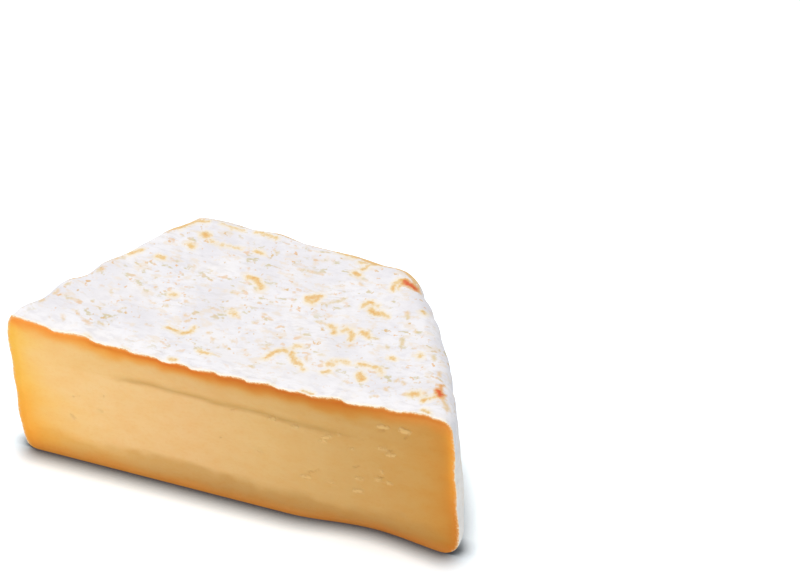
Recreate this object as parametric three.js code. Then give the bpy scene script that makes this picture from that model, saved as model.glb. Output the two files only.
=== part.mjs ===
// Half of a hexagonal soft cheese, cut from corner to corner and standing on its flat underside.
// Millimetres, +Z up. X runs along the cut, and the cut face looks along -Y.
// The origin is on the floor, under the middle of the piece's bounding box.
//
// The piece is one solid. A box-shaped lattice of points covers its six sides: the top, the underside, the
// cut and the three rind walls. placePoint() puts each lattice point where it lies on the cheese, so that
// neighbouring sides share their edges.
import * as THREE from "three";

// The whole wheel, before its irregularities
const EDGE = 80; // one side of the hexagon: the wheel is 160 mm from corner to corner
const APOTHEM = (EDGE * Math.sqrt(3)) / 2;
const HEIGHT = 57;
const TOP_RIM_RADIUS = 5.5;
const BOTTOM_RIM_RADIUS = 6;
const LEFT_BOTTOM_RIM_RADIUS = 2.5;
const LEFT_RIM_START = 35; // the bottom rim sharpens this far left of the wheel's axis
const LEFT_RIM_BLEND = 30; // and has its left radius this much further out
// The top rim's radius along the left wall: it starts this far left of the wheel's axis, behind the cut
const LEFT_TOP_RIM = { radius: 3, start: 30, blend: 8, inward: 20 };
const CORNER_SHARPNESS = 29; // power of the norm that rounds the upright corners

// The rind walls. Facing is the wall's direction in degrees from +X, apothem its distance from the wheel's
// axis, lean how far its foot is set in, belly how far it bulges low down, bow how far its middle stands out,
// and sag the share by which the bow grows low down.
const LEFT = { facing: 150, apothem: 65.4, lean: 4.3, belly: 1.9, bow: 0.4, sag: 0 };
const BACK = { facing: 87.2, apothem: 68.1, lean: 0.3, belly: 0.5, bow: 1, sag: 0 };
const RIGHT = { facing: 30, apothem: 68.3, lean: -2.6, belly: 0, bow: 2.5, sag: 1 };
const BEYOND_LEFT = { facing: 210, apothem: LEFT.apothem }; // walls of the half that was cut away
const BEYOND_RIGHT = { facing: -30, apothem: RIGHT.apothem };
const WALLS = [BEYOND_LEFT, LEFT, BACK, RIGHT, BEYOND_RIGHT];
const BELLY_SKEW = 0.46; // 1 would put the belly at half height, and less puts it lower
const LEFT_CORNER = 120; // degrees from +X to the two corners at the back
const RIGHT_CORNER = 60;
const WALL_BLEND = 30; // degrees round a corner where one wall's lean and belly pass into the next one's

// The top is dished, and the foot of the cut draws back from the cut's plane at one place
const DISH_DEPTH = 4.3;
const CORNER_LIFTS = { left: -0.5, right: 0.6 }; // at the two ends of the cut
const FOOT = { centre: 50, halfWidth: 29, drawnBack: 2.75, height: 16, depth: 25 };

// Low relief of the rind: waves of the given height, each with its waves per metre along X, Y and Z, and a
// phase
const RIND_WAVES = [
  { height: 0.2, per: [21, 66, 38], phase: 0.4 },
  { height: 0.17, per: [-34, 83, -52], phase: 2.1 },
  { height: 0.14, per: [47, 31, 71], phase: 3.7 },
  { height: 0.1, per: [62, -97, 26], phase: 5.2 },
];
const RELIEF_REACH = 4; // how deep under the rind its relief dies away
// The knife dragged the rind's edge into uneven scallops, a slow rise and a quick drop, over and over, and
// pulled the ends of the edge up
const SCALLOP = { pitch: 11.5, riseShare: 0.75, height: 0.95, wander: 0.34, wanderLength: 19 };
const PULL = { left: 4.2, right: 1.1, end: 78, length: 8.5 };
const KNIFE_REACH = 3; // how far behind the cut its traces die away

// Lattice lines along X, along Y and along Z
const LINES = [46, 20, 13];
const END_CROWDING = 0.35; // share by which lines lie closer together at the ends

const radians = THREE.MathUtils.degToRad;
const clamp = THREE.MathUtils.clamp;
const smoothstep = (t) => THREE.MathUtils.smoothstep(t, 0, 1);

// Distance from the wheel's axis along a wall's direction
function along(wall, x, y) {
  return Math.max(0, x * Math.cos(radians(wall.facing)) + y * Math.sin(radians(wall.facing)));
}

// 0 on the wheel's axis and 1 on the rounded outline of the real, slightly uneven hexagon
function outlineShare(x, y) {
  const shares = WALLS.map((wall) => (along(wall, x, y) / wall.apothem) ** CORNER_SHARPNESS);
  return shares.reduce((sum, share) => sum + share, 0) ** (1 / CORNER_SHARPNESS);
}

// Rounds a rim whose edge is sharp. A point is given by its distance in from the wall and its distance from
// the top or the underside. One in the square beside the edge moves to the quarter circle in that square.
function roundRim(inset, depth, radius) {
  const outward = radius - inset;
  const endward = radius - depth;
  if (outward <= 0 || endward <= 0) return [inset, depth];
  const shrink = Math.max(outward, endward) / Math.hypot(outward, endward);
  return [radius - outward * shrink, radius - endward * shrink];
}

// How far the walls stand out from the upright outline, in the direction of (x, y), at a share of the height
function wallOffset(x, y, share) {
  const angle = THREE.MathUtils.radToDeg(Math.atan2(y, x));
  const toLeft = smoothstep(0.5 + (angle - LEFT_CORNER) / WALL_BLEND);
  const toRight = smoothstep(0.5 + (RIGHT_CORNER - angle) / WALL_BLEND);
  const weights = [
    [LEFT, toLeft],
    [BACK, 1 - toLeft - toRight],
    [RIGHT, toRight],
  ];
  const belly = Math.sin(Math.PI * share ** BELLY_SKEW);
  let offset = 0;
  for (const [wall, weight] of weights) {
    const offMiddle = clamp(3 * (angle - wall.facing), -90, 90);
    offset += weight * (wall.belly * belly - wall.lean * (1 - share));
    offset += wall.bow * (1 + wall.sag * belly) * Math.cos(radians(offMiddle));
  }
  return offset;
}

// Height of the top above HEIGHT: its dish, and the lifts at the ends of the cut
function topShape(x, y) {
  const inward = clamp(y / APOTHEM, 0, 1);
  const sideways = clamp(x / (EDGE * (1 - inward / 2)), -1, 1);
  const ends = ((1 - sideways) * CORNER_LIFTS.left + (1 + sideways) * CORNER_LIFTS.right) / 2;
  return ends * (1 - inward) - DISH_DEPTH * (1 - sideways ** 2) * (1 - inward ** 2);
}

// How far the foot of the cut is drawn back, and the cheese behind it with it
function footShape(x, y, z) {
  const sideways = clamp((x - FOOT.centre) / FOOT.halfWidth, -1, 1);
  const low = clamp(1 - z / FOOT.height, 0, 1) ** 2;
  return FOOT.drawnBack * Math.cos((sideways * Math.PI) / 2) ** 2 * low * smoothstep(1 - y / FOOT.depth);
}

function rindRelief(x, y, z) {
  let relief = 0;
  for (const wave of RIND_WAVES) {
    const turns = (wave.per[0] * x + wave.per[1] * y + wave.per[2] * z) / 1000;
    relief += wave.height * Math.sin(2 * Math.PI * turns + wave.phase);
  }
  return relief;
}

function scallops(x) {
  const turns = x / SCALLOP.pitch + SCALLOP.wander * Math.sin(x / SCALLOP.wanderLength);
  const share = turns - Math.floor(turns);
  const tooth = smoothstep(share / SCALLOP.riseShare) * smoothstep((1 - share) / (1 - SCALLOP.riseShare));
  return SCALLOP.height * (tooth - 0.5);
}

function pull(x) {
  const atLeft = Math.exp(-(((x + PULL.end) / PULL.length) ** 2));
  const atRight = Math.exp(-(((x - PULL.end) / PULL.length) ** 2));
  return PULL.left * atLeft + PULL.right * atRight;
}

// A lattice point's place on the cheese: across runs from -1 to 1 along the cut, inward from 0 at the cut to
// 1 at the back wall, and upward from 0 to 1. The wheel's axis stands at x = 0, y = 0 here.
function placePoint(across, inward, upward) {
  let x = across * EDGE * (1 - inward / 2);
  let y = inward * APOTHEM;
  let z = upward * HEIGHT;

  const reaches = [LEFT.facing, 90, RIGHT.facing].map((facing) => along({ facing }, x, y));
  const inFromWall = APOTHEM - Math.max(...reaches);
  const downFromTop = HEIGHT - z;
  const atLeft = smoothstep((-x - LEFT_RIM_START) / LEFT_RIM_BLEND);
  const bottomRadius = THREE.MathUtils.lerp(BOTTOM_RIM_RADIUS, LEFT_BOTTOM_RIM_RADIUS, atLeft);
  const leftward = smoothstep((-x - LEFT_TOP_RIM.start) / LEFT_TOP_RIM.blend);
  const sharp = leftward * smoothstep(y / LEFT_TOP_RIM.inward);
  const topRadius = THREE.MathUtils.lerp(TOP_RIM_RADIUS, LEFT_TOP_RIM.radius, sharp);
  const [insetAtTop, depthAtTop] = roundRim(inFromWall, downFromTop, topRadius);
  const [inset, height] = roundRim(insetAtTop, HEIGHT - depthAtTop, bottomRadius);
  z = height;

  // From the sharp, regular hexagon to the rounded, uneven one
  const toOutline = x === 0 && y === 0 ? 1 : (1 - inset / APOTHEM) / outlineShare(x, y);
  x *= toOutline;
  y *= toOutline;
  const share = clamp(z / HEIGHT, 0, 1);
  const bulge = 1 + wallOffset(x, y, share) / APOTHEM;
  x *= bulge;
  y *= bulge;
  z *= 1 + topShape(x, y) / HEIGHT;
  y += footShape(x, y, z);

  const relief = rindRelief(x, y, z);
  const nearTop = Math.exp(-downFromTop / RELIEF_REACH);
  const nearWall = Math.exp(-inFromWall / RELIEF_REACH);
  const push = 1 + (relief * nearWall) / Math.max(Math.hypot(x, y), RELIEF_REACH);
  z += nearTop * (relief + (scallops(x) + pull(x)) * Math.exp(-y / KNIFE_REACH));
  return new THREE.Vector3(x * push, y * push, z);
}

// Line number to a share from 0 to 1, with the lines closer together near both ends
function station(line, lines) {
  const t = line / lines;
  return t - (END_CROWDING * Math.sin(2 * Math.PI * t)) / (2 * Math.PI);
}

// The lattice's six sides. The first direction turned into the second points out of the solid; 0, 1 and 2 are
// the lattice's X, Y and Z, and end says whether the side lies at the start or the end of the third one.
const LATTICE_SIDES = [
  { first: 0, second: 1, end: 1 }, // top
  { first: 1, second: 0, end: 0 }, // underside
  { first: 0, second: 2, end: 0 }, // cut
  { first: 2, second: 0, end: 1 }, // back wall
  { first: 2, second: 1, end: 0 }, // left wall
  { first: 1, second: 2, end: 1 }, // right wall
];

function cheeseGeometry() {
  const points = [];
  const numbers = new Map();
  const pointNumber = (cell) => {
    const key = cell.join();
    if (!numbers.has(key)) {
      const [across, inward, upward] = cell.map((line, axis) => station(line, LINES[axis]));
      numbers.set(key, points.length);
      points.push(placePoint(2 * across - 1, inward, upward));
    }
    return numbers.get(key);
  };

  const triangles = [];
  for (const { first, second, end } of LATTICE_SIDES) {
    const third = 3 - first - second;
    for (let i = 0; i < LINES[first]; i++) {
      for (let j = 0; j < LINES[second]; j++) {
        const corner = (di, dj) => {
          const cell = [0, 0, 0];
          cell[first] = i + di;
          cell[second] = j + dj;
          cell[third] = end * LINES[third];
          return pointNumber(cell);
        };
        const [a, b, c, d] = [corner(0, 0), corner(1, 0), corner(1, 1), corner(0, 1)];
        // Each quad is split along its shorter diagonal
        const splitAC = points[a].distanceTo(points[c]) <= points[b].distanceTo(points[d]);
        triangles.push(...(splitAC ? [a, b, c, a, c, d] : [a, b, d, b, c, d]));
      }
    }
  }

  const geometry = new THREE.BufferGeometry();
  geometry.setFromPoints(points);
  geometry.setIndex(triangles);
  geometry.computeBoundingBox();
  const { min, max } = geometry.boundingBox;
  geometry.translate(-(min.x + max.x) / 2, -(min.y + max.y) / 2, -min.z);
  geometry.computeVertexNormals();
  return geometry;
}

// White bloom over an ochre rind
const rind = new THREE.MeshStandardMaterial({ color: 0xf0eeea, roughness: 0.85, metalness: 0 });

const cheese = new THREE.Mesh(cheeseGeometry(), rind);
cheese.name = "cheese_half";

const group = new THREE.Group();
group.add(cheese);

export default group;
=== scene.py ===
import itertools
import math

import bpy
import numpy as np
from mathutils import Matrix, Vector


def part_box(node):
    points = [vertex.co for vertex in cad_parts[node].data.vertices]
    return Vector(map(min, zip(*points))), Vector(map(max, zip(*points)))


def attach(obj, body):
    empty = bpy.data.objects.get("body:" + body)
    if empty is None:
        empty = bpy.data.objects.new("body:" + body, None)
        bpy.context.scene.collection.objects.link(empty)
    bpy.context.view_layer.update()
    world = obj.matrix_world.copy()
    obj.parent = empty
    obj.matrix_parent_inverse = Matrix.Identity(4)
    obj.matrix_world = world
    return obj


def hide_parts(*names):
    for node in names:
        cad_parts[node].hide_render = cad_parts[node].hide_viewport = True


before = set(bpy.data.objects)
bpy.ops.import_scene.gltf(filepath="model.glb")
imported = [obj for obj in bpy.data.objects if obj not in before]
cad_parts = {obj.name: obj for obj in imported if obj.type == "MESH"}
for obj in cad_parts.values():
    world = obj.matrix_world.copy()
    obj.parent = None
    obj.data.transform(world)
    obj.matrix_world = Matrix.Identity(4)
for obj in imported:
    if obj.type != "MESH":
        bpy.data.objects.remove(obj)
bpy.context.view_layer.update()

# Half of a hexagonal soft cheese with a white-bloomed rind. The fine mesh repeats the shape of the solid
# cheese_half and adds low relief. All shape sizes are in millimetres, in the wheel's own frame: the wheel's
# axis stands at x = 0, y = 0, the cut lies in y = 0 and the floor in z = 0.
NODE = "cheese_half"
MM = 0.001
TINY = 1e-9

# Sizes shared with the solid
EDGE = 80.0
APOTHEM = EDGE * math.sqrt(3) / 2
HEIGHT = 57.0
TOP_RIM_RADIUS = 5.5
BOTTOM_RIM_RADIUS = 6.0
LEFT_BOTTOM_RIM_RADIUS = 2.5
LEFT_RIM_START = 35.0
LEFT_RIM_BLEND = 30.0
LEFT_TOP_RIM_RADIUS = 3.0
LEFT_TOP_RIM_START = 30.0
LEFT_TOP_RIM_BLEND = 8.0
LEFT_TOP_RIM_INWARD = 20.0
CORNER_SHARPNESS = 29
LEFT = {"facing": 150.0, "apothem": 65.4, "lean": 4.3, "belly": 1.9, "bow": 0.4, "sag": 0.0}
BACK = {"facing": 87.2, "apothem": 68.1, "lean": 0.3, "belly": 0.5, "bow": 1.0, "sag": 0.0}
RIGHT = {"facing": 30.0, "apothem": 68.3, "lean": -2.6, "belly": 0.0, "bow": 2.5, "sag": 1.0}
REGULAR_FACINGS = (150.0, 90.0, 30.0)
BEYOND_LEFT = {"facing": 210.0, "apothem": LEFT["apothem"]}
BEYOND_RIGHT = {"facing": -30.0, "apothem": RIGHT["apothem"]}
WALLS = (BEYOND_LEFT, LEFT, BACK, RIGHT, BEYOND_RIGHT)
BELLY_SKEW = 0.46
LEFT_CORNER = 120.0
RIGHT_CORNER = 60.0
WALL_BLEND = 30.0
DISH_DEPTH = 4.3
CORNER_LIFT_LEFT = -0.5
CORNER_LIFT_RIGHT = 0.6
FOOT_CENTRE = 50.0
FOOT_HALF_WIDTH = 29.0
FOOT_DRAWN_BACK = 2.75
FOOT_HEIGHT = 16.0
FOOT_DEPTH = 25.0
RIND_WAVES = (
    (0.20, (21, 66, 38), 0.4),
    (0.17, (-34, 83, -52), 2.1),
    (0.14, (47, 31, 71), 3.7),
    (0.10, (62, -97, 26), 5.2),
)
RELIEF_REACH = 4.0
SCALLOP_PITCH = 11.5
SCALLOP_RISE_SHARE = 0.75
SCALLOP_HEIGHT = 0.95
SCALLOP_WANDER = 0.34
SCALLOP_WANDER_LENGTH = 19.0
PULL_LEFT = 4.2
PULL_RIGHT = 1.1
PULL_END = 78.0
PULL_LENGTH = 8.5
KNIFE_REACH = 3.0

# The fine mesh: lattice lines along X, Y and Z
LINES = (224, 100, 84)
END_CROWDING = 0.45

# The photograph's view, worked out from the outlines of the cut and the top
VIEW_AZIMUTH = 20.24
VIEW_ELEVATION = 39.77
VIEW_TARGET = np.array([25.64, 93.41, 20.0])
VIEW_DISTANCE = 1124.1
LENS = 150.0
SENSOR = 36.0
PHOTO_SIZE = (800, 587)
# Each pass comes closer to where a line of sight meets the dished top
TOP_PASSES = 4


def smoothstep(t):
    t = np.clip(t, 0, 1)
    return t * t * (3 - 2 * t)


def noise(points, size, seed):
    """Smooth noise from -1 to 1 at points in millimetres, with lumps of the given size along each axis."""
    table = np.random.default_rng(seed).uniform(-1, 1, 4096)
    cells = points / np.asarray(size)
    low = np.floor(cells).astype(np.int64)
    part = smoothstep(cells - low)
    primes = (73856093, 19349663, 83492791)
    total = np.zeros(len(points))
    for corner in itertools.product((0, 1), repeat=points.shape[1]):
        key = np.zeros(len(points), dtype=np.int64)
        weight = np.ones(len(points))
        for axis, step in enumerate(corner):
            key ^= (low[:, axis] + step) * primes[axis]
            weight *= part[:, axis] if step else 1 - part[:, axis]
        total += table[key % 4096] * weight
    return total


# Shape of the whole piece, the same as the solid's


def along(facing, x, y):
    turn = math.radians(facing)
    return np.maximum(0, x * math.cos(turn) + y * math.sin(turn))


def outline_share(x, y):
    total = sum((along(wall["facing"], x, y) / wall["apothem"]) ** CORNER_SHARPNESS for wall in WALLS)
    return total ** (1 / CORNER_SHARPNESS)


def round_rim(inset, depth, radius):
    outward = radius - inset
    endward = radius - depth
    in_square = (outward > 0) & (endward > 0)
    shrink = np.maximum(outward, endward) / np.maximum(np.hypot(outward, endward), TINY)
    rounded_inset = np.where(in_square, radius - outward * shrink, inset)
    rounded_depth = np.where(in_square, radius - endward * shrink, depth)
    return rounded_inset, rounded_depth


def rim_radii(x, y):
    """The radii of the top rim and the bottom rim, both smaller towards the left end."""
    at_left = smoothstep((-x - LEFT_RIM_START) / LEFT_RIM_BLEND)
    bottom = BOTTOM_RIM_RADIUS + (LEFT_BOTTOM_RIM_RADIUS - BOTTOM_RIM_RADIUS) * at_left
    sharp = smoothstep((-x - LEFT_TOP_RIM_START) / LEFT_TOP_RIM_BLEND) * smoothstep(y / LEFT_TOP_RIM_INWARD)
    top = TOP_RIM_RADIUS + (LEFT_TOP_RIM_RADIUS - TOP_RIM_RADIUS) * sharp
    return top, bottom


def wall_offset(x, y, share):
    angle = np.degrees(np.arctan2(y, x))
    to_left = smoothstep(0.5 + (angle - LEFT_CORNER) / WALL_BLEND)
    to_right = smoothstep(0.5 + (RIGHT_CORNER - angle) / WALL_BLEND)
    belly = np.sin(np.pi * share**BELLY_SKEW)
    offset = np.zeros_like(x)
    for wall, weight in ((LEFT, to_left), (BACK, 1 - to_left - to_right), (RIGHT, to_right)):
        off_middle = np.clip(3 * (angle - wall["facing"]), -90, 90)
        offset += weight * (wall["belly"] * belly - wall["lean"] * (1 - share))
        offset += wall["bow"] * (1 + wall["sag"] * belly) * np.cos(np.radians(off_middle))
    return offset


def top_shape(x, y):
    inward = np.clip(y / APOTHEM, 0, 1)
    sideways = np.clip(x / (EDGE * (1 - inward / 2)), -1, 1)
    ends = ((1 - sideways) * CORNER_LIFT_LEFT + (1 + sideways) * CORNER_LIFT_RIGHT) / 2
    return ends * (1 - inward) - DISH_DEPTH * (1 - sideways**2) * (1 - inward**2)


def foot_shape(x, y, z):
    sideways = np.clip((x - FOOT_CENTRE) / FOOT_HALF_WIDTH, -1, 1)
    low = np.clip(1 - z / FOOT_HEIGHT, 0, 1) ** 2
    return FOOT_DRAWN_BACK * np.cos(sideways * np.pi / 2) ** 2 * low * smoothstep(1 - y / FOOT_DEPTH)


def rind_relief(x, y, z):
    relief = np.zeros_like(x)
    for height, per_metre, phase in RIND_WAVES:
        turns = (per_metre[0] * x + per_metre[1] * y + per_metre[2] * z) / 1000
        relief += height * np.sin(2 * np.pi * turns + phase)
    return relief


def scallops(x):
    turns = x / SCALLOP_PITCH + SCALLOP_WANDER * np.sin(x / SCALLOP_WANDER_LENGTH)
    share = turns - np.floor(turns)
    tooth = smoothstep(share / SCALLOP_RISE_SHARE) * smoothstep((1 - share) / (1 - SCALLOP_RISE_SHARE))
    return SCALLOP_HEIGHT * (tooth - 0.5)


def pull(x):
    at_left = np.exp(-(((x + PULL_END) / PULL_LENGTH) ** 2))
    at_right = np.exp(-(((x - PULL_END) / PULL_LENGTH) ** 2))
    return PULL_LEFT * at_left + PULL_RIGHT * at_right


def place(across, inward, upward):
    """Lattice shares to places on the cheese, with the distances in from the wall and down from the top."""
    x = across * EDGE * (1 - inward / 2)
    y = inward * APOTHEM
    z = upward * HEIGHT
    reaches = [along(facing, x, y) for facing in REGULAR_FACINGS]
    from_wall = APOTHEM - np.max(reaches, axis=0)
    from_top = HEIGHT - z
    top_radius, bottom_radius = rim_radii(x, y)
    inset, depth = round_rim(from_wall, from_top, top_radius)
    inset, z = round_rim(inset, HEIGHT - depth, bottom_radius)

    outline = outline_share(x, y)
    on_axis = outline < TINY
    to_outline = np.where(on_axis, 1, (1 - inset / APOTHEM) / np.where(on_axis, 1, outline))
    x = x * to_outline
    y = y * to_outline
    share = np.clip(z / HEIGHT, 0, 1)
    bulge = 1 + wall_offset(x, y, share) / APOTHEM
    x = x * bulge
    y = y * bulge
    z = z * (1 + top_shape(x, y) / HEIGHT)
    y = y + foot_shape(x, y, z)

    relief = rind_relief(x, y, z)
    near_top = np.exp(-from_top / RELIEF_REACH)
    near_wall = np.exp(-from_wall / RELIEF_REACH)
    push = 1 + relief * near_wall / np.maximum(np.hypot(x, y), RELIEF_REACH)
    z = z + near_top * (relief + (scallops(x) + pull(x)) * np.exp(-y / KNIFE_REACH))
    return np.stack([x * push, y * push, z], axis=1), np.maximum(from_wall, 0), np.maximum(from_top, 0)


# The height at which the ends of the cut are measured, as a share of the whole
ENDS_LEVEL = 0.3


def wheel_origin():
    """Where the wheel's own origin lies in the row's frame, in metres."""
    low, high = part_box(NODE)
    ends, _, _ = place(np.linspace(-1, 1, 2), np.zeros(2), np.full(2, ENDS_LEVEL))
    return np.array([(low[0] + high[0]) / 2 - ends[:, 0].mean() * MM, low[1], 0.0])


# The fine mesh


def station(lines):
    """Shares from 0 to 1, closer together near both ends."""
    t = np.linspace(0, 1, lines + 1)
    return t - END_CROWDING * np.sin(2 * np.pi * t) / (2 * np.pi)


# The lattice's six sides: the first direction turned into the second points out of the solid, and end says
# whether the side lies at the start or the end of the third direction
SIDES = {
    "top": (0, 1, 1),
    "underside": (1, 0, 0),
    "cut": (0, 2, 0),
    "back wall": (2, 0, 1),
    "left wall": (2, 1, 0),
    "right wall": (1, 2, 1),
}


def lattice():
    """The lattice points of the six sides, without repeats, and each side's four-cornered faces."""
    keys = []
    shapes = []
    for first, second, end in SIDES.values():
        cells = np.zeros((LINES[first] + 1, LINES[second] + 1, 3), dtype=np.int64)
        cells[..., first] = np.arange(LINES[first] + 1)[:, None]
        cells[..., second] = np.arange(LINES[second] + 1)[None, :]
        cells[..., 3 - first - second] = end * LINES[3 - first - second]
        keys.append(cells.reshape(-1, 3))
        shapes.append(cells.shape[:2])
    all_cells, numbers = np.unique(np.concatenate(keys), axis=0, return_inverse=True)
    numbers = numbers.reshape(-1)
    faces = {}
    start = 0
    for name, shape in zip(SIDES, shapes):
        count = shape[0] * shape[1]
        grid = numbers[start : start + count].reshape(shape)
        corners = (grid[:-1, :-1], grid[1:, :-1], grid[1:, 1:], grid[:-1, 1:])
        faces[name] = np.stack(corners, axis=-1).reshape(-1, 4)
        start += count
    return all_cells, faces


# Marks on the rind, placed by the photograph


def towards_camera():
    """The direction from the view's target to the camera."""
    azimuth = math.radians(VIEW_AZIMUTH)
    elevation = math.radians(VIEW_ELEVATION)
    level = math.cos(elevation)
    return np.array([math.sin(azimuth) * level, -math.cos(azimuth) * level, math.sin(elevation)])


def sight_lines(pixels):
    """The camera's place, and the directions in which it sees pixels of the photograph."""
    azimuth = math.radians(VIEW_AZIMUTH)
    back = towards_camera()
    right = np.array([math.cos(azimuth), math.sin(azimuth), 0.0])
    up = np.cross(back, right)
    focal = LENS / SENSOR * PHOTO_SIZE[0]
    pixels = np.asarray(pixels, dtype=float)
    sideways = (pixels[:, :1] - PHOTO_SIZE[0] / 2) / focal
    upward = (PHOTO_SIZE[1] / 2 - pixels[:, 1:]) / focal
    return VIEW_TARGET + VIEW_DISTANCE * back, sideways * right + upward * up - back


def photo_to_top(pixels):
    """Where the lines of sight through pixels of the photograph meet the top, as x and y."""
    eye, rays = sight_lines(pixels)
    level = np.full(len(rays), HEIGHT)
    for _ in range(TOP_PASSES):
        reach = (level - eye[2]) / rays[:, 2]
        points = eye + rays * reach[:, None]
        level = HEIGHT + top_shape(points[:, 0], points[:, 1])
    return points[:, :2]


def photo_to_cut(pixels):
    """Where the lines of sight through pixels of the photograph meet the cut, as x and z."""
    eye, rays = sight_lines(pixels)
    points = eye + rays * (-eye[1] / rays[:, 1])[:, None]
    return points[:, [0, 2]]


# Each group of marks has half its strokes' width in millimetres, and strokes through pixels of the photograph
GOLD_MARKS = {
    "round spot at the back left": (1.5, ((204, 235), (206, 236))),
    "trail from the round spot": (
        0.5,
        ((209, 241), (217, 244)),
        ((221, 245), (228, 246)),
        ((234, 247), (240, 248)),
    ),
    "spots behind the middle": (0.8, ((188, 244), (192, 247)), ((256, 251), (262, 253))),
    "spots on the left rim": (0.8, ((129, 253), (136, 251), (141, 250)), ((158, 257), (163, 259))),
    "curved blob": (1.1, ((248, 277), (254, 279), (259, 284), (261, 288))),
    "orange spot on the left": (0.9, ((171, 294), (174, 295))),
    "middle spot": (0.9, ((231, 312), (234, 314))),
    "oval right of the middle": (1.4, ((308, 298), (313, 297), (319, 296))),
    "oval's lower edge": (0.8, ((307, 301), (312, 303), (318, 299))),
    "curled blob": (1.3, ((371, 309), (374, 312), (378, 312))),
    "curled blob's arms": (0.7, ((362, 306), (367, 302), (372, 302), (377, 305)), ((381, 311), (387, 316))),
    "squiggle on the left": (
        0.7,
        ((180, 333), (186, 332), (192, 330), (194, 327)),
        ((167, 327), (173, 329), (178, 332)),
    ),
    "lower left stroke": (0.6, ((199, 351), (203, 353), (208, 354))),
    "loop behind the front row": (0.8, ((330, 326), (334, 327), (335, 330), (333, 333))),
    "first loop on the right": (0.8, ((342, 331), (346, 329), (350, 331), (352, 335), (350, 339))),
    "second loop on the right": (0.8, ((361, 332), (365, 333), (368, 337))),
    "front row stroke": (0.9, ((265, 358), (271, 355), (276, 352), (282, 350), (285, 351))),
    "ring's left side": (0.9, ((291, 352), (292, 357), (295, 363), (300, 364))),
    "ring's top and tail": (0.6, ((293, 347), (296, 345), (299, 346)), ((300, 365), (303, 369))),
    "arch": (0.7, ((332, 361), (337, 360), (343, 361), (348, 362))),
    "arch's foot": (1.1, ((328, 363), (331, 364)), ((323, 372), (327, 371))),
    "arc after the arch": (0.9, ((358, 363), (362, 364), (366, 366))),
    "thin end of the arc": (0.6, ((368, 367), (375, 368), (379, 370), (381, 374))),
    "spot under the arc": (1.3, ((359, 374), (361, 378))),
    "spot at the right corner": (1.2, ((412, 394), (417, 394))),
    "trail to the right corner": (0.8, ((423, 400), (429, 398), (434, 397))),
    "right dots": (0.9, ((390, 357), (393, 358)), ((422, 311), (424, 313)), ((419, 355), (420, 357))),
    "spot at the right of the back": (1.1, ((354, 273), (358, 275))),
    "streak by that spot": (0.7, ((362, 269), (369, 263), (378, 262))),
    "fan at the far right corner": (0.8, ((392, 290), (394, 284), (398, 281), (404, 280))),
    "second ray of the fan": (0.5, ((397, 289), (400, 284), (406, 281))),
    "spots on the cut's edge": (
        0.8,
        ((86, 338), (88, 339)),
        ((123, 349), (126, 350)),
        ((170, 358), (174, 360)),
        ((302, 391), (311, 393)),
        ((423, 411), (428, 414)),
    ),
    "thin line along the back rim": (
        0.5,
        ((179, 229), (186, 224), (197, 220), (208, 221)),
        ((222, 223), (231, 227), (243, 230)),
        ((256, 232), (266, 235), (276, 238)),
        ((336, 251), (346, 254), (352, 256)),
        ((360, 261), (370, 262), (380, 263)),
    ),
}
FAINT_MARKS = {
    "spots along the left rim": (
        0.7,
        ((40, 300), (42, 299)),
        ((54, 292), (57, 290)),
        ((65, 285), (69, 284)),
        ((98, 270), (102, 269)),
        ((113, 260), (118, 258), (123, 257)),
    ),
    "arcs on the far left": (
        0.3,
        ((76, 311), (78, 315), (84, 320), (88, 322)),
        ((97, 320), (102, 323), (106, 324)),
        ((119, 313), (121, 310), (125, 309)),
        ((67, 298), (74, 299), (80, 301)),
    ),
    "specks on the left": (
        0.35,
        ((136, 261), (140, 265)),
        ((149, 267), (152, 268)),
        ((143, 282), (147, 282)),
        ((155, 285), (156, 290)),
        ((165, 306), (167, 307)),
        ((149, 300), (155, 303)),
        ((131, 295), (135, 300)),
        ((110, 289), (111, 293)),
        ((133, 331), (135, 332)),
        ((146, 324), (151, 326)),
        ((171, 259), (172, 260)),
        ((62, 314), (63, 321)),
    ),
    "specks before the middle": (
        0.55,
        ((209, 307), (216, 309), (224, 311)),
        ((208, 333), (209, 334)),
        ((211, 338), (212, 341)),
        ((223, 344), (225, 345)),
        ((232, 340), (235, 341)),
        ((212, 355), (219, 357)),
        ((243, 349), (245, 350)),
        ((184, 315), (188, 316)),
        ((184, 321), (189, 320)),
        ((210, 269), (213, 273)),
        ((230, 292), (238, 294)),
        ((185, 300), (186, 302)),
        ((236, 317), (238, 318)),
    ),
    "specks right of the middle": (
        0.55,
        ((253, 321), (256, 321)),
        ((262, 315), (266, 316)),
        ((268, 318), (270, 319)),
        ((245, 329), (247, 329)),
        ((273, 250), (277, 254)),
        ((300, 268), (308, 270), (316, 272), (322, 274)),
        ((322, 304), (330, 303), (338, 301), (346, 298)),
        ((315, 321), (323, 323), (328, 325)),
        ((299, 330), (301, 330)),
        ((260, 345), (267, 345), (273, 345)),
        ((260, 349), (269, 350)),
        ((306, 353), (309, 355)),
        ((305, 358), (306, 361)),
        ((319, 355), (324, 357)),
        ((250, 365), (252, 366)),
    ),
    "specks on the right": (
        0.6,
        ((386, 314), (388, 317)),
        ((375, 338), (377, 339)),
        ((386, 346), (388, 347)),
        ((350, 345), (354, 345)),
        ((401, 338), (401, 346)),
        ((407, 312), (407, 319)),
        ((415, 330), (416, 332)),
        ((395, 381), (398, 379)),
        ((401, 381), (404, 384)),
        ((384, 389), (386, 391)),
        ((371, 397), (376, 397)),
        ((404, 394), (408, 394)),
        ((438, 371), (439, 374)),
        ((433, 357), (434, 360)),
        ((344, 381), (348, 381)),
        ((359, 283), (362, 285)),
        ((438, 402), (440, 403)),
    ),
    "bare right rim": (0.8, ((441, 397), (444, 402), (447, 409))),
}
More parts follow.
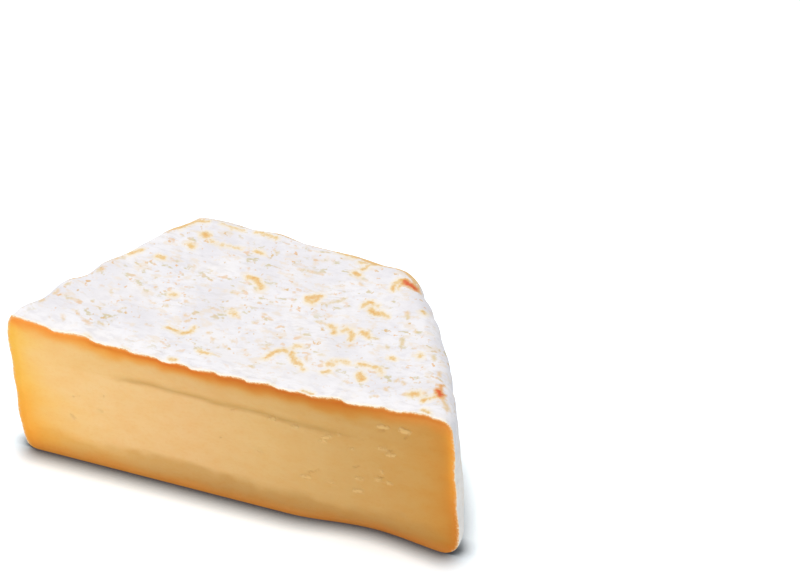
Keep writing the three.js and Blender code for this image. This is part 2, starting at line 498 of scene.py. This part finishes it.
RED_MARKS = {
    "red spot at the far right corner": (1.4, ((405, 282), (411, 284), (415, 286))),
    "red spot at the right corner": (1.3, ((438, 391), (440, 395))),
    "red streak at the right corner": (0.6, ((441, 385), (440, 390))),
}


# What stroke_field gives far from all strokes
OUTSIDE = -3.0


def stroke_field(points, marks, find_place):
    """How far inside the nearest stroke each point lies, in millimetres, and negative outside."""
    field = np.full(len(points), OUTSIDE)
    for half_width, *strokes in marks:
        for pixels in strokes:
            path = find_place(pixels)
            for start, end in zip(path[:-1], path[1:]):
                span = end - start
                share = np.clip((points - start) @ span / max(span @ span, TINY), 0, 1)
                distance = np.linalg.norm(points - start - share[:, None] * span, axis=1)
                field = np.maximum(field, half_width - distance)
    return field


# Fine relief


def top_relief(x, y):
    """Marks of the mat the cheese ripened on, wrinkles and lumps."""
    flat = np.stack([x, y], axis=1)
    wander = 1.3 * noise(flat, (45, 22), 11) + 0.4 * noise(flat, (12, 9), 12)
    strength = 0.5 + 0.5 * noise(flat, (26, 11), 13)
    mat = 0.09 * strength * np.sin(2 * np.pi * (y + wander) / 3.4)
    wrinkles = 0.16 * (0.5 - np.abs(noise(flat, (9, 2.6), 14)))
    lumps = 0.16 * noise(flat, (13, 9), 15) + 0.09 * noise(flat, (4.5, 3.0), 16)
    grain = 0.05 * noise(flat, (1.6, 1.4), 17)
    return mat + wrinkles + lumps + grain


def torn_edge(x, y):
    """Small bites and crumbs along the edge that the knife left in the rind."""
    flat = np.stack([x, y], axis=1)
    bites = 0.26 * noise(flat, (2.6, 3.0), 18) + 0.16 * noise(flat, (1.2, 2.0), 19)
    return bites * np.exp(-y / 1.2)


def wall_relief(points):
    lumps = 0.16 * noise(points, (12, 12, 9), 21) + 0.08 * noise(points, (4, 4, 3.4), 22)
    return lumps + 0.14 * (0.5 - np.abs(noise(points, (11, 11, 3), 23)))


# The line that the wire left across the cut, through pixels of the photograph
WIRE_LINE = (
    *((104, 379), (126, 382), (149, 386), (168, 392), (198, 399), (213, 404), (236, 409), (259, 414)),
    *((282, 421), (304, 427), (331, 433), (347, 437), (369, 441)),
)
WIRE_DEPTH = 0.35
# Crumbs of the paste that the wire pulled up: half their width in millimetres, and where they lie
CRUMBS = (
    (1.1, ((401, 431), (407, 433))),
    (0.8, ((377, 427), (385, 428)), ((302, 477), (310, 478)), ((353, 491), (361, 492))),
    (
        0.7,
        *(((379, 449), (385, 450)), ((386, 455), (393, 456)), ((269, 419), (274, 420))),
        ((322, 438), (329, 437)),
    ),
    (
        0.6,
        *(((374, 480), (379, 481)), ((385, 483), (390, 485)), ((291, 427), (296, 428))),
        ((256, 452), (259, 453)),
    ),
    (
        0.5,
        *(((319, 441), (325, 442)), ((355, 479), (362, 480)), ((327, 482), (333, 483))),
        *(((380, 471), (382, 474)), ((337, 434), (339, 436)), ((349, 449), (352, 450))),
        *(((70, 416), (73, 419)), ((97, 411), (100, 412))),
    ),
)
CRUMB_HEIGHT = 0.25
CRUMB_SOFTNESS = 0.4
# Small openings in the paste, listed in the same way
PITS = (
    (0.35, ((384, 452), (391, 451)), ((352, 468), (358, 467))),
    (
        0.3,
        *(((378, 431), (384, 431)), ((404, 439), (409, 434)), ((230, 410), (232, 410))),
        ((377, 476), (383, 479)),
    ),
    (0.25, ((306, 473), (315, 472)), ((317, 471), (319, 470))),
    (
        0.15,
        *(((101, 395), (103, 398)), ((361, 441), (364, 440)), ((72, 397), (78, 397))),
        ((219, 437), (221, 439)),
    ),
)
PIT_DEPTH = 0.22
PIT_SOFTNESS = 0.5


def above_wire_line(x, z):
    path = photo_to_cut(WIRE_LINE)
    return z - np.interp(x, path[:, 0], path[:, 1])


def wire_line(x, z):
    """The line from 0 to 1: sharp on its lower side, soft above, and fading out at both ends."""
    path = photo_to_cut(WIRE_LINE)
    share = (x - path[0, 0]) / (path[-1, 0] - path[0, 0])
    fade = smoothstep(share / 0.12) * smoothstep((1 - share) / 0.2)
    above = above_wire_line(x, z)
    return fade * np.exp(-((above / np.where(above > 0, 1.6, 0.5)) ** 2))


def cut_relief(x, z):
    """How deep the cut face lies behind its plane."""
    flat = np.stack([x, z], axis=1)
    drag = 0.05 * (1 + noise(flat, (38, 3.2), 31)) + 0.03 * (1 + noise(flat, (9, 1.6), 32))
    uneven = 0.10 * (1 + noise(flat, (24, 16), 33)) + 0.05 * (1 + noise(flat, (5, 4), 34))
    return 0.2 + drag + uneven + WIRE_DEPTH * wire_line(x, z)


# Colours, as they look in the photograph


def linear(red, green, blue):
    """A colour of 0 to 255 a channel to the linear values that shaders take."""
    channels = np.array([red, green, blue]) / 255
    return np.where(channels <= 0.04045, channels / 12.92, ((channels + 0.055) / 1.055) ** 2.4)


# Along the cut, from left to right: a place in millimetres and the colour there
# PASTE, LOW and UNDER_TOP darken from left to right: partly the paste's own colour, partly painted light
# falling off away from the left
PASTE = (
    (-62, (250, 204, 134)),
    (-44, (246, 202, 137)),
    (-12, (237, 192, 130)),
    (13, (228, 185, 120)),
    (42, (214, 169, 102)),
    (62, (210, 160, 88)),
)
UNDER_TOP = (
    (-62, (250, 152, 56)),
    (-40, (240, 150, 50)),
    (-19, (230, 126, 34)),
    (3, (214, 120, 34)),
    (24, (209, 120, 34)),
    (46, (211, 126, 36)),
    (64, (226, 144, 58)),
)
LOW = (
    (-70, (246, 190, 106)),
    (-30, (222, 174, 104)),
    (0, (208, 160, 94)),
    (60, (202, 154, 86)),
)
NEAR_FLOOR = ((-70, (250, 162, 70)), (-20, (246, 158, 70)), (60, (246, 154, 70)))
RIND_LINE = linear(196, 88, 8)
WIRE_LINE_SHADE = linear(186, 142, 76)
NEAR_LEFT = linear(255, 194, 74)
NEAR_LEFT_LOW = linear(255, 172, 58)
NEAR_RIGHT = linear(246, 162, 50)
NEAR_RIGHT_LOW = linear(214, 130, 42)
NEAR_RIGHT_INSIDE = linear(210, 138, 50)
# How far these colours reach into the paste: from below, the left end, the right end, the floor and the top
LOW_REACH = 12.5
LEFT_REACH = 5.5
LEFT_REACH_ADDED_LOW = 6
RIGHT_REACH = 2.8
RIGHT_INSIDE_REACH = 9
FLOOR_REACH = 2.8
TOP_REACH = 4.6
TOP_REACH_ADDED_RIGHT = 0.9
RIND_LINE_DEPTH = 1.7
RIND_LINE_WIDTH = 0.8


def along_cut(x, stops):
    places = [place for place, _ in stops]
    colours = np.array([linear(*colour) for _, colour in stops])
    return np.stack([np.interp(x, places, colours[:, channel]) for channel in range(3)], axis=1)


def stain(colour, other, share):
    """Colours deepen towards another one as a dye does, by shares of their logarithms."""
    return colour * (other / colour) ** np.clip(share, 0, 1)[:, None]


def from_cut_end(from_wall):
    """The distance from a wall, measured along the cut."""
    return from_wall / math.cos(math.radians(30))


def paste_colour(x, z, from_top, from_wall):
    """The paste of the cut face: pale inside, lighter to the left, partly by painted light, and deeper orange
    towards the rind.
    """
    flat = np.stack([x, z], axis=1)
    uneven = 1 + 0.2 * noise(flat, (13, 8), 51) + 0.12 * noise(flat, (4, 3), 52)
    all_over = np.ones((len(x), 1))

    low = along_cut(x, LOW)
    colour = stain(along_cut(x, PASTE), low, 0.9 * smoothstep((LOW_REACH * uneven - z) / 5))
    # Painted shade of the wire's groove: the paste darkens above its line and along it
    colour = stain(colour, low, 0.25 * smoothstep(above_wire_line(x, z) / 1.5) * smoothstep((x + 75) / 30))
    colour = stain(colour, WIRE_LINE_SHADE, 0.45 * wire_line(x, z))

    from_side = from_cut_end(from_wall) * uneven
    on_left = np.where(x < 0, 1.0, 0.0)
    lower = smoothstep((38 - z) / 30)
    near_left = stain(NEAR_LEFT * all_over, NEAR_LEFT_LOW, lower)
    near_right = stain(NEAR_RIGHT * all_over, NEAR_RIGHT_LOW, lower)
    reach = LEFT_REACH + LEFT_REACH_ADDED_LOW * lower
    colour = stain(colour, near_left, on_left * np.exp(-((from_side / reach) ** 1.4)))
    inside = np.exp(-((from_side / RIGHT_INSIDE_REACH) ** 1.5))
    colour = stain(colour, NEAR_RIGHT_INSIDE, (1 - on_left) * inside)
    colour = stain(colour, near_right, (1 - on_left) * np.exp(-((from_side / RIGHT_REACH) ** 2)))
    from_floor = np.maximum(z, 0) * uneven
    colour = stain(colour, along_cut(x, NEAR_FLOOR), np.exp(-((from_floor / FLOOR_REACH) ** 1.5)))

    reach = TOP_REACH + TOP_REACH_ADDED_RIGHT * smoothstep((x + 30) / 60)
    colour = stain(colour, along_cut(x, UNDER_TOP), np.exp(-((from_top * uneven / reach) ** 3)))
    off_line = (from_top * uneven - RIND_LINE_DEPTH) / RIND_LINE_WIDTH
    line = 0.35 * smoothstep((x + 66) / 30) * np.exp(-(off_line**2))
    return stain(colour, RIND_LINE, line * np.clip(0.7 + 0.6 * noise(flat, (7, 30), 53), 0, 1))


# Putting the cheese together

# How far the fine relief reaches from the top and the walls, and the height above the floor where it is full
FINE_REACH = 2.0
FINE_HEIGHT = 6.0
# The same for the relief of the cut, inside the rind's edge
CUT_RIM = 2.5
CUT_HEIGHT = 3.0


def with_relief(places, on_cut, from_wall, from_top, pits, crumbs):
    """Fine relief: it fades towards the floor, and inside the cut it reaches only the rind's edge."""
    points = places.copy()
    x, y, z = places.T
    near_top = np.exp(-from_top / FINE_REACH)
    near_wall = np.exp(-from_wall / FINE_REACH) * smoothstep(z / FINE_HEIGHT)
    points[:, 2] += near_top * (top_relief(x, y) + torn_edge(x, y))
    outward = points[:, :2] / np.maximum(np.linalg.norm(points[:, :2], axis=1), 1)[:, None]
    points[:, :2] += outward * (near_wall * (1 - near_top) * wall_relief(points))[:, None]

    inside = smoothstep(np.minimum(from_wall, from_top) / CUT_RIM) * smoothstep(z / CUT_HEIGHT)
    sunk = PIT_DEPTH * smoothstep(PIT_SOFTNESS + pits)
    raised = CRUMB_HEIGHT * smoothstep(CRUMB_SOFTNESS + crumbs)
    points[on_cut, 1] = (y + (cut_relief(x, z) + sunk - raised) * inside)[on_cut]
    return points


def fit_to_solid(points):
    """Points moved from the wheel's own frame to the row's, kept inside the solid's box, in metres."""
    low, high = [np.array(corner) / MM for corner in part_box(NODE)]
    middle = (points[:, 0].min() + points[:, 0].max()) / 2
    shift = np.array([(low[0] + high[0]) / 2 - middle, low[1], low[2]])
    return np.clip(points + shift, low, high) * MM


def new_mesh(points, faces):
    """A smooth mesh of the six sides, with the second material on the cut."""
    mesh = bpy.data.meshes.new("soft_cheese")
    quads = np.concatenate([faces[name] for name in SIDES])
    mesh.vertices.add(len(points))
    mesh.vertices.foreach_set("co", points.ravel())
    mesh.loops.add(quads.size)
    mesh.loops.foreach_set("vertex_index", quads.ravel())
    mesh.polygons.add(len(quads))
    mesh.polygons.foreach_set("loop_start", np.arange(0, quads.size, 4))
    mesh.polygons.foreach_set("use_smooth", np.ones(len(quads), dtype=bool))
    slots = np.concatenate([np.full(len(faces[name]), int(name == "cut")) for name in SIDES])
    mesh.polygons.foreach_set("material_index", slots)
    mesh.update(calc_edges=True)
    return mesh


def mark_cut_edges(mesh, faces):
    """The knife's edges stay crisp: normals don't blend across them."""
    numbers = np.arange(len(mesh.vertices))
    on_cut = np.isin(numbers, faces["cut"])
    on_rind = np.isin(numbers, np.concatenate([faces[name] for name in SIDES if name != "cut"]))
    ends = np.zeros(2 * len(mesh.edges), dtype=np.int32)
    mesh.edges.foreach_get("vertices", ends)
    sharp = (on_cut & on_rind)[ends.reshape(-1, 2)].all(axis=1)
    values = mesh.attributes.get("sharp_edge") or mesh.attributes.new("sharp_edge", "BOOLEAN", "EDGE")
    values.data.foreach_set("value", sharp)


def add_values(mesh, name, values):
    attribute = mesh.attributes.new(name, "FLOAT", "POINT")
    attribute.data.foreach_set("value", values.astype(np.float32))


def add_colours(mesh, name, colours):
    attribute = mesh.attributes.new(name, "FLOAT_COLOR", "POINT")
    opaque = np.column_stack([colours, np.ones(len(colours))])
    attribute.data.foreach_set("color", opaque.astype(np.float32).ravel())


def cut_strokes(places, on_cut, marks):
    """The strokes lie on the cut only."""
    return np.where(on_cut, stroke_field(places[:, [0, 2]], marks, photo_to_cut), OUTSIDE)


def rind_marks(x, y, from_top, marks):
    """The strokes lie on the top and end at its rim."""
    field = stroke_field(np.stack([x, y], axis=1), marks.values(), photo_to_top)
    return np.where(from_top < TOP_RIM_RADIUS, field, OUTSIDE)


def lip(y, from_wall, from_top):
    """About how far each point lies from the edge between rind and cut, in millimetres."""
    from_end = 0.25 + 0.8 * from_cut_end(from_wall)
    return np.minimum(from_top, from_end) + np.maximum(y, 0)


# The two worn corners of the back wall: their directions and half their width, in degrees
WORN_CORNERS = (119, 61)
WORN_CORNER_WIDTH = 8


def rub(x, y, z, from_wall, from_top):
    """Where the bloom is worn off the rims and corners, from 0 to 1."""
    points = np.stack([x, y, z], axis=1)
    angle = np.degrees(np.arctan2(y, x))
    top_rim = np.exp(-((from_wall - 1.2) ** 2 + (from_top - 1.2) ** 2) / 5.0)
    back = smoothstep((y - 8) / 20) * (0.25 + 0.75 * smoothstep((angle - 45) / 20))
    floor_rim = np.exp(-(((from_wall - 1.0) ** 2 + z**2) / 9.0))
    corner = sum(np.exp(-(((angle - middle) / WORN_CORNER_WIDTH) ** 2)) for middle in WORN_CORNERS)
    corner = corner * smoothstep((y - 40) / 15) * np.exp(-from_wall / 3)
    patchy = 0.74 + 0.6 * noise(points, (9, 9, 7), 61)
    return np.clip((1.2 * top_rim * back + 0.7 * floor_rim + 0.4 * corner) * patchy, 0, 1)


def build_cheese():
    cells, faces = lattice()
    across, inward, upward = [station(LINES[axis])[cells[:, axis]] for axis in range(3)]
    places, from_wall, from_top = place(2 * across - 1, inward, upward)
    x, y, z = places.T
    on_cut = cells[:, 1] == 0
    pits = cut_strokes(places, on_cut, PITS)
    crumbs = cut_strokes(places, on_cut, CRUMBS)
    relieved = with_relief(places, on_cut, from_wall, from_top, pits, crumbs)

    mesh = new_mesh(fit_to_solid(relieved), faces)
    mark_cut_edges(mesh, faces)
    for name, marks in (("gold", GOLD_MARKS), ("faint", FAINT_MARKS), ("red", RED_MARKS)):
        add_values(mesh, name, rind_marks(x, y, from_top, marks))
    add_values(mesh, "rub", rub(x, y, z, from_wall, from_top))
    add_values(mesh, "lip", lip(y, from_wall, from_top))
    add_values(mesh, "pit", pits)
    add_values(mesh, "crumb", crumbs)
    add_colours(mesh, "paste", paste_colour(x, z, from_top, from_wall))
    mesh.materials.append(rind_material())
    mesh.materials.append(paste_material())

    cheese = bpy.data.objects.new("soft_cheese", mesh)
    bpy.context.scene.collection.objects.link(cheese)
    return cheese


# Materials


class Nodes:
    """Short calls for the nodes that the materials share."""

    def __init__(self, name):
        self.material = bpy.data.materials.new(name)
        self.material.use_nodes = True
        self.tree = self.material.node_tree
        self.shader = self.tree.nodes["Principled BSDF"]
        self.place = self.add("ShaderNodeTexCoord").outputs["Object"]

    def add(self, kind):
        return self.tree.nodes.new(kind)

    def put(self, socket, value):
        if isinstance(value, bpy.types.NodeSocket):
            self.tree.links.new(value, socket)
        elif socket.type == "RGBA" and len(value) == 3:
            socket.default_value = (*value, 1.0)
        else:
            socket.default_value = value

    def attribute(self, name, output="Fac"):
        node = self.add("ShaderNodeAttribute")
        node.attribute_name = name
        return node.outputs[output]

    def math(self, operation, first, second=0.0):
        node = self.add("ShaderNodeMath")
        node.operation = operation
        self.put(node.inputs[0], first)
        self.put(node.inputs[1], second)
        return node.outputs[0]

    def times(self, first, second):
        return self.math("MULTIPLY", first, second)

    def plus(self, first, second):
        return self.math("ADD", first, second)

    def centred(self, value):
        """A value from 0 to 1, moved to lie around 0."""
        return self.math("SUBTRACT", value, 0.5)

    def step(self, value, low, high, to_low=0.0, to_high=1.0):
        return self.ramp(value, low, high, to_low, to_high, "SMOOTHSTEP")

    def ramp(self, value, low, high, to_low=0.0, to_high=1.0, kind="LINEAR"):
        node = self.add("ShaderNodeMapRange")
        node.interpolation_type = kind
        for socket, number in zip(node.inputs[1:5], (low, high, to_low, to_high)):
            self.put(socket, number)
        self.put(node.inputs[0], value)
        return node.outputs[0]

    def mix(self, share, first, second, blend="MIX"):
        node = self.add("ShaderNodeMix")
        node.data_type = "RGBA"
        node.blend_type = blend
        self.put(node.inputs[0], share)
        self.put(node.inputs[6], first)
        self.put(node.inputs[7], second)
        return node.outputs[2]

    def noise(self, size, detail=2.0, stretch=(1, 1, 1), roughness=0.5):
        """Noise from 0 to 1 with lumps of a size in millimetres."""
        stretched = self.add("ShaderNodeMapping")
        stretched.vector_type = "POINT"
        self.put(stretched.inputs["Scale"], stretch)
        self.put(stretched.inputs["Vector"], self.place)
        node = self.add("ShaderNodeTexNoise")
        self.put(node.inputs["Vector"], stretched.outputs[0])
        self.put(node.inputs["Scale"], 1 / (size * MM))
        self.put(node.inputs["Detail"], detail)
        self.put(node.inputs["Roughness"], roughness)
        return node.outputs["Fac"]

    def bump(self, height, distance, strength=1.0, below=None):
        node = self.add("ShaderNodeBump")
        self.put(node.inputs["Height"], height)
        self.put(node.inputs["Distance"], distance * MM)
        self.put(node.inputs["Strength"], strength)
        if below:
            self.put(node.inputs["Normal"], below)
        return node.outputs[0]

    def finish(self, colour, roughness, normal):
        self.put(self.shader.inputs["Base Color"], colour)
        self.put(self.shader.inputs["Roughness"], roughness)
        self.put(self.shader.inputs["Normal"], normal)
        return self.material


BLOOM = linear(236, 235, 238)
BLOOM_SHADE = linear(219, 217, 222)
WALL_BLOOM = linear(244, 236, 222)
STREAK_SHADE = linear(206, 202, 202)
SMUDGE = linear(226, 212, 194)
SPECK_TAN = linear(222, 188, 152)
SPECK_OLIVE = linear(200, 188, 146)
OCHRE = linear(222, 168, 92)
HALO = linear(238, 222, 188)
GOLD = linear(224, 192, 132)
DEEP_GOLD = linear(220, 162, 80)
RED = linear(212, 94, 46)
LIP = linear(246, 238, 224)
LIP_EDGE = linear(250, 228, 194)
UNDER_LIP = linear(240, 182, 118)
MOTTLE = linear(250, 222, 170)
GRAIN = linear(250, 232, 200)
CRUMB = linear(240, 198, 130)
OPENING = linear(186, 134, 74)
# Noise drawn out along X, a little and a lot
DRAWN = (0.6, 1, 1)
FAR_DRAWN = (0.25, 1, 1)
# The walls' creamier bloom begins at this height, is full at the next one, and wanders by the last
WALL_BLOOM_FROM = 60 * MM
WALL_BLOOM_FULL = 28 * MM
WALL_BLOOM_WANDER = 30 * MM


def bloom_colour(n, fine):
    """White bloom with painted shade in grey streaks and mottles, and tan specks, which thin out towards the
    cut.
    """
    inward = n.step(n.attribute("lip"), 3.0, 10.0, 0.25, 1.0)
    # BLOOM_SHADE lays a grey mottle: partly the bloom's own uneven tone, partly painted shade of its fine
    # wrinkles
    shade = n.times(n.step(n.noise(13, 3), 0.35, 0.7, 0.3, 0.8), inward)
    colour = n.mix(shade, BLOOM, BLOOM_SHADE)
    colour = n.mix(n.step(n.noise(2.0, 4, DRAWN), 0.45, 0.72, 0.0, 0.8), colour, BLOOM_SHADE)
    # Painted shade in the fine grooves that the bump below sinks along the streaks
    streaks = n.step(n.noise(1.3, 3, (0.2, 1, 1), 0.55), 0.54, 0.7)
    places = n.step(n.noise(11, 2, FAR_DRAWN), 0.42, 0.6, 0.0, 0.45)
    colour = n.mix(n.times(streaks, places), colour, STREAK_SHADE)

    smudges = n.step(n.noise(3.2, 4, DRAWN, 0.6), 0.53, 0.66, 0.0, 0.6)
    colour = n.mix(n.times(smudges, inward), colour, SMUDGE)
    speck = n.mix(n.step(n.noise(4, 1), 0.42, 0.58), SPECK_TAN, SPECK_OLIVE)
    rows = n.times(n.step(n.noise(2.1, 3, DRAWN, 0.55), 0.56, 0.66), inward)
    places = n.step(n.noise(8, 2, (0.4, 1, 1)), 0.44, 0.56, 0.0, 0.8)
    colour = n.mix(n.times(rows, places), colour, speck)
    dots = n.times(n.step(n.noise(1.9, 2), 0.63, 0.71), inward)
    places = n.step(n.noise(7, 2), 0.4, 0.54, 0.0, 0.85)
    colour = n.mix(n.times(dots, places), colour, n.mix(fine, speck, DEEP_GOLD))
    return colour, speck, streaks


def add_marks(n, colour, faint_colour, fine, wavering):
    """Faint marks, gold marks with broken edges and a pale halo, and red spots."""
    faint = n.plus(n.attribute("faint"), wavering)
    colour = n.mix(n.step(faint, -0.6, 0.9, 0.0, 0.85), colour, faint_colour)
    gold = n.plus(n.attribute("gold"), wavering)
    colour = n.mix(n.step(gold, -1.6, 0.2, 0.0, 0.6), colour, HALO)
    marked = n.step(gold, -0.35, 0.6)
    deep = n.step(n.plus(gold, n.times(fine, 2.2)), 1.3, 2.6)
    colour = n.mix(n.times(marked, 0.9), colour, n.mix(deep, GOLD, DEEP_GOLD))
    red = n.plus(n.attribute("red"), wavering)
    colour = n.mix(n.step(red, -1.0, 0.3, 0.0, 0.8), colour, DEEP_GOLD)
    return n.mix(n.step(red, 0.0, 1.2), colour, RED), marked


def add_worn_edges(n, colour, bare, ragged):
    """Creamier walls, bare rind at the rims and corners, and the torn edge at the cut."""
    height = n.add("ShaderNodeSeparateXYZ")
    n.put(height.inputs[0], n.place)
    level = n.plus(height.outputs["Z"], n.times(n.centred(n.noise(14, 4)), WALL_BLOOM_WANDER))
    colour = n.mix(n.step(level, WALL_BLOOM_FROM, WALL_BLOOM_FULL, 0.0, 0.5), colour, WALL_BLOOM)
    worn = n.plus(n.attribute("rub"), n.times(ragged, 1.1))
    colour = n.mix(n.step(worn, 0.32, 0.75, 0.0, 0.9), colour, bare)
    torn = n.plus(n.attribute("lip"), n.times(ragged, 1.8))
    return n.mix(n.step(torn, 1.2, 0.0, 0.0, 0.9), colour, LIP)


def rind_material():
    n = Nodes("rind with white bloom")
    fine = n.noise(1.1, 5)
    ragged = n.centred(n.noise(1.0, 4, roughness=0.65))
    broken = n.centred(n.noise(2.4, 3))
    wavering = n.plus(n.times(ragged, 2.0), n.times(broken, 1.8))
    colour, speck, streaks = bloom_colour(n, fine)
    colour, marked = add_marks(n, colour, n.mix(fine, speck, GOLD), fine, wavering)
    colour = add_worn_edges(n, colour, n.mix(fine, GOLD, OCHRE), ragged)

    relief = n.bump(n.noise(2.2, 4, FAR_DRAWN, 0.6), 0.4, 0.8)
    relief = n.bump(streaks, -0.1, 0.5, relief)
    relief = n.bump(marked, -0.1, 0.7, relief)
    relief = n.bump(n.noise(0.35, 3), 0.05, 0.6, relief)
    n.put(n.shader.inputs["Specular IOR Level"], 0.2)
    return n.finish(colour, n.step(marked, 0, 1, 0.9, 0.6), relief)


def paste_material():
    n = Nodes("ripe paste")
    n.put(n.shader.inputs["Subsurface Weight"], 0.1)
    n.put(n.shader.inputs["Subsurface Radius"], (1.0, 0.5, 0.2))
    n.put(n.shader.inputs["Subsurface Scale"], 2.5 * MM)
    n.put(n.shader.inputs["Specular IOR Level"], 0.12)
    mottle = n.noise(5, 4, DRAWN)
    grain = n.noise(0.7, 3, DRAWN)
    colour = n.attribute("paste", "Color")
    colour = n.mix(n.step(mottle, 0.35, 0.7, 0.0, 0.2), colour, MOTTLE, "MULTIPLY")
    colour = n.mix(n.step(grain, 0.45, 0.75, 0.0, 0.25), colour, GRAIN, "MULTIPLY")

    # Crumbs, pale partly in their own colour and partly by a painted highlight, and small openings with shade
    # in them
    ragged = n.centred(n.noise(0.8, 3, roughness=0.6))
    crumb = n.plus(n.attribute("crumb"), n.times(ragged, 2.4))
    colour = n.mix(n.step(crumb, -0.5, 0.6, 0.0, 0.55), colour, CRUMB)
    hole = n.plus(n.attribute("pit"), n.times(ragged, 1.6))
    colour = n.mix(n.step(hole, -0.4, 0.4, 0.0, 0.28), colour, OPENING)

    # The bloom's torn edge: a thin cream line over the orange
    torn = n.plus(n.attribute("lip"), n.times(ragged, 1.8))
    colour = n.mix(n.step(torn, 1.2, 0.4, 0.0, 0.6), colour, UNDER_LIP)
    colour = n.mix(n.step(torn, 0.6, 0.1), colour, LIP_EDGE)

    relief = n.bump(n.noise(2.4, 4, (0.7, 1, 1)), 0.1, 0.5)
    relief = n.bump(n.step(crumb, -0.3, 0.5), 0.2, 0.8, relief)
    relief = n.bump(n.step(hole, -0.3, 0.4), -0.2, 0.7, relief)
    return n.finish(colour, n.step(mottle, 0.3, 0.8, 0.5, 0.62), relief)


# Floor, lights and camera

FLOOR_SIZE = 6000
FLOOR = (0.89, 0.94, 0.97)
FLOOR_GLOW = 0.33
CONTACT_SHADE = (0.09, 0.095, 0.1)
CONTACT_GLOW = 0.02
CONTACT_REACH = 10.5
CONTACT_SAMPLES = 16
# How open the floor is where the painted shade begins, and where it is full
SHADE_FROM = 0.97
SHADE_FULL = 0.56
# In front of the cut the shade has all its strength. Behind it and past its right end it has these shares,
# and it changes between these places along Y and X, in metres.
SHADE_BEHIND = 0.4
BEHIND = (-0.032, -0.026)
SHADE_PAST_END = 0.6
PAST_END = (0.074, 0.082)
# How much more open the floor counts where the foot of the cut is drawn back
FOOT_OPENING = 0.14


def foot_opening(n, x):
    """Lets the painted shadow follow the foot of the cut where it is drawn back."""
    centre = wheel_origin()[0] + FOOT_CENTRE * MM
    reach = FOOT_HALF_WIDTH * MM
    before = n.step(x, centre - reach, centre)
    after = n.step(x, centre + reach, centre)
    return n.times(n.times(before, after), FOOT_OPENING)


def floor_material():
    """A pale, faintly glowing floor with a painted shadow where the cheese touches it, most of all in front
    of the cut.
    """
    n = Nodes("pale floor")
    around = n.add("ShaderNodeAmbientOcclusion")
    around.samples = CONTACT_SAMPLES
    n.put(around.inputs["Distance"], CONTACT_REACH * MM)
    split = n.add("ShaderNodeSeparateXYZ")
    n.put(split.inputs[0], n.place)
    x, y, _ = split.outputs

    opened = n.plus(around.outputs["AO"], foot_opening(n, x))
    in_front = n.ramp(y, *BEHIND, 1.0, SHADE_BEHIND)
    before_end = n.ramp(x, *PAST_END, 1.0, SHADE_PAST_END)
    shade = n.times(n.ramp(opened, SHADE_FROM, SHADE_FULL), n.times(in_front, before_end))
    # Painted shadow: the shade dims the floor's glow and colour
    n.put(n.shader.inputs["Emission Color"], FLOOR)
    n.put(n.shader.inputs["Emission Strength"], n.ramp(shade, 0, 1, FLOOR_GLOW, CONTACT_GLOW))
    n.put(n.shader.inputs["Base Color"], n.mix(shade, FLOOR, CONTACT_SHADE))
    n.put(n.shader.inputs["Roughness"], 0.9)
    return n.material


def add_floor():
    bpy.ops.mesh.primitive_plane_add(size=FLOOR_SIZE * MM)
    floor = bpy.context.object
    floor.name = "floor"
    floor.data.materials.append(floor_material())


def aim(direction):
    """The turn that points a lamp's or camera's -Z axis along a direction."""
    east, north, up = direction
    return (math.atan2(math.hypot(east, north), -up), 0, math.atan2(-east, north))


def add_light(name, position, target, size, power, colour):
    data = bpy.data.lights.new(name, "AREA")
    data.shape = "DISK"
    data.size = size
    data.energy = power
    data.color = colour
    light = bpy.data.objects.new(name, data)
    light.location = position
    light.rotation_euler = aim(np.array(target) - np.array(position))
    bpy.context.scene.collection.objects.link(light)


SKY = (0.97, 0.98, 1.01, 1)
SKY_STRENGTH = 0.44
# The lamps: where they stand, what they point at and how wide they are, in metres, and their power in watts
LAMPS = {
    "key": {
        "position": (-0.06, 0.1, 1.05),
        "target": (0, 0, 0.03),
        "size": 0.36,
        "power": 6.7,
        "colour": (1.0, 0.98, 0.95),
    },
    "front": {
        "position": (-0.35, -0.6, 0.45),
        "target": (-0.05, -0.03, 0.03),
        "size": 0.3,
        "power": 1.2,
        "colour": (1, 1, 1),
    },
}


def add_studio():
    world = bpy.data.worlds.new("studio")
    world.use_nodes = True
    background = world.node_tree.nodes["Background"]
    background.inputs["Color"].default_value = SKY
    background.inputs["Strength"].default_value = SKY_STRENGTH
    bpy.context.scene.world = world
    for name, lamp in LAMPS.items():
        add_light(name, **lamp)


def add_camera(origin):
    """The photograph's camera. The view is given from the wheel's own origin."""
    data = bpy.data.cameras.new("camera")
    data.lens = LENS
    data.sensor_width = SENSOR
    camera = bpy.data.objects.new("camera", data)
    camera.location = (VIEW_TARGET + VIEW_DISTANCE * towards_camera()) * MM + origin
    camera.rotation_euler = aim(-towards_camera())
    bpy.context.scene.collection.objects.link(camera)
    bpy.context.scene.camera = camera


add_camera(wheel_origin())
cheese = build_cheese()
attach(cheese, "root")
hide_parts(NODE)
add_floor()
add_studio()
bpy.context.scene.view_settings.view_transform = "Standard"
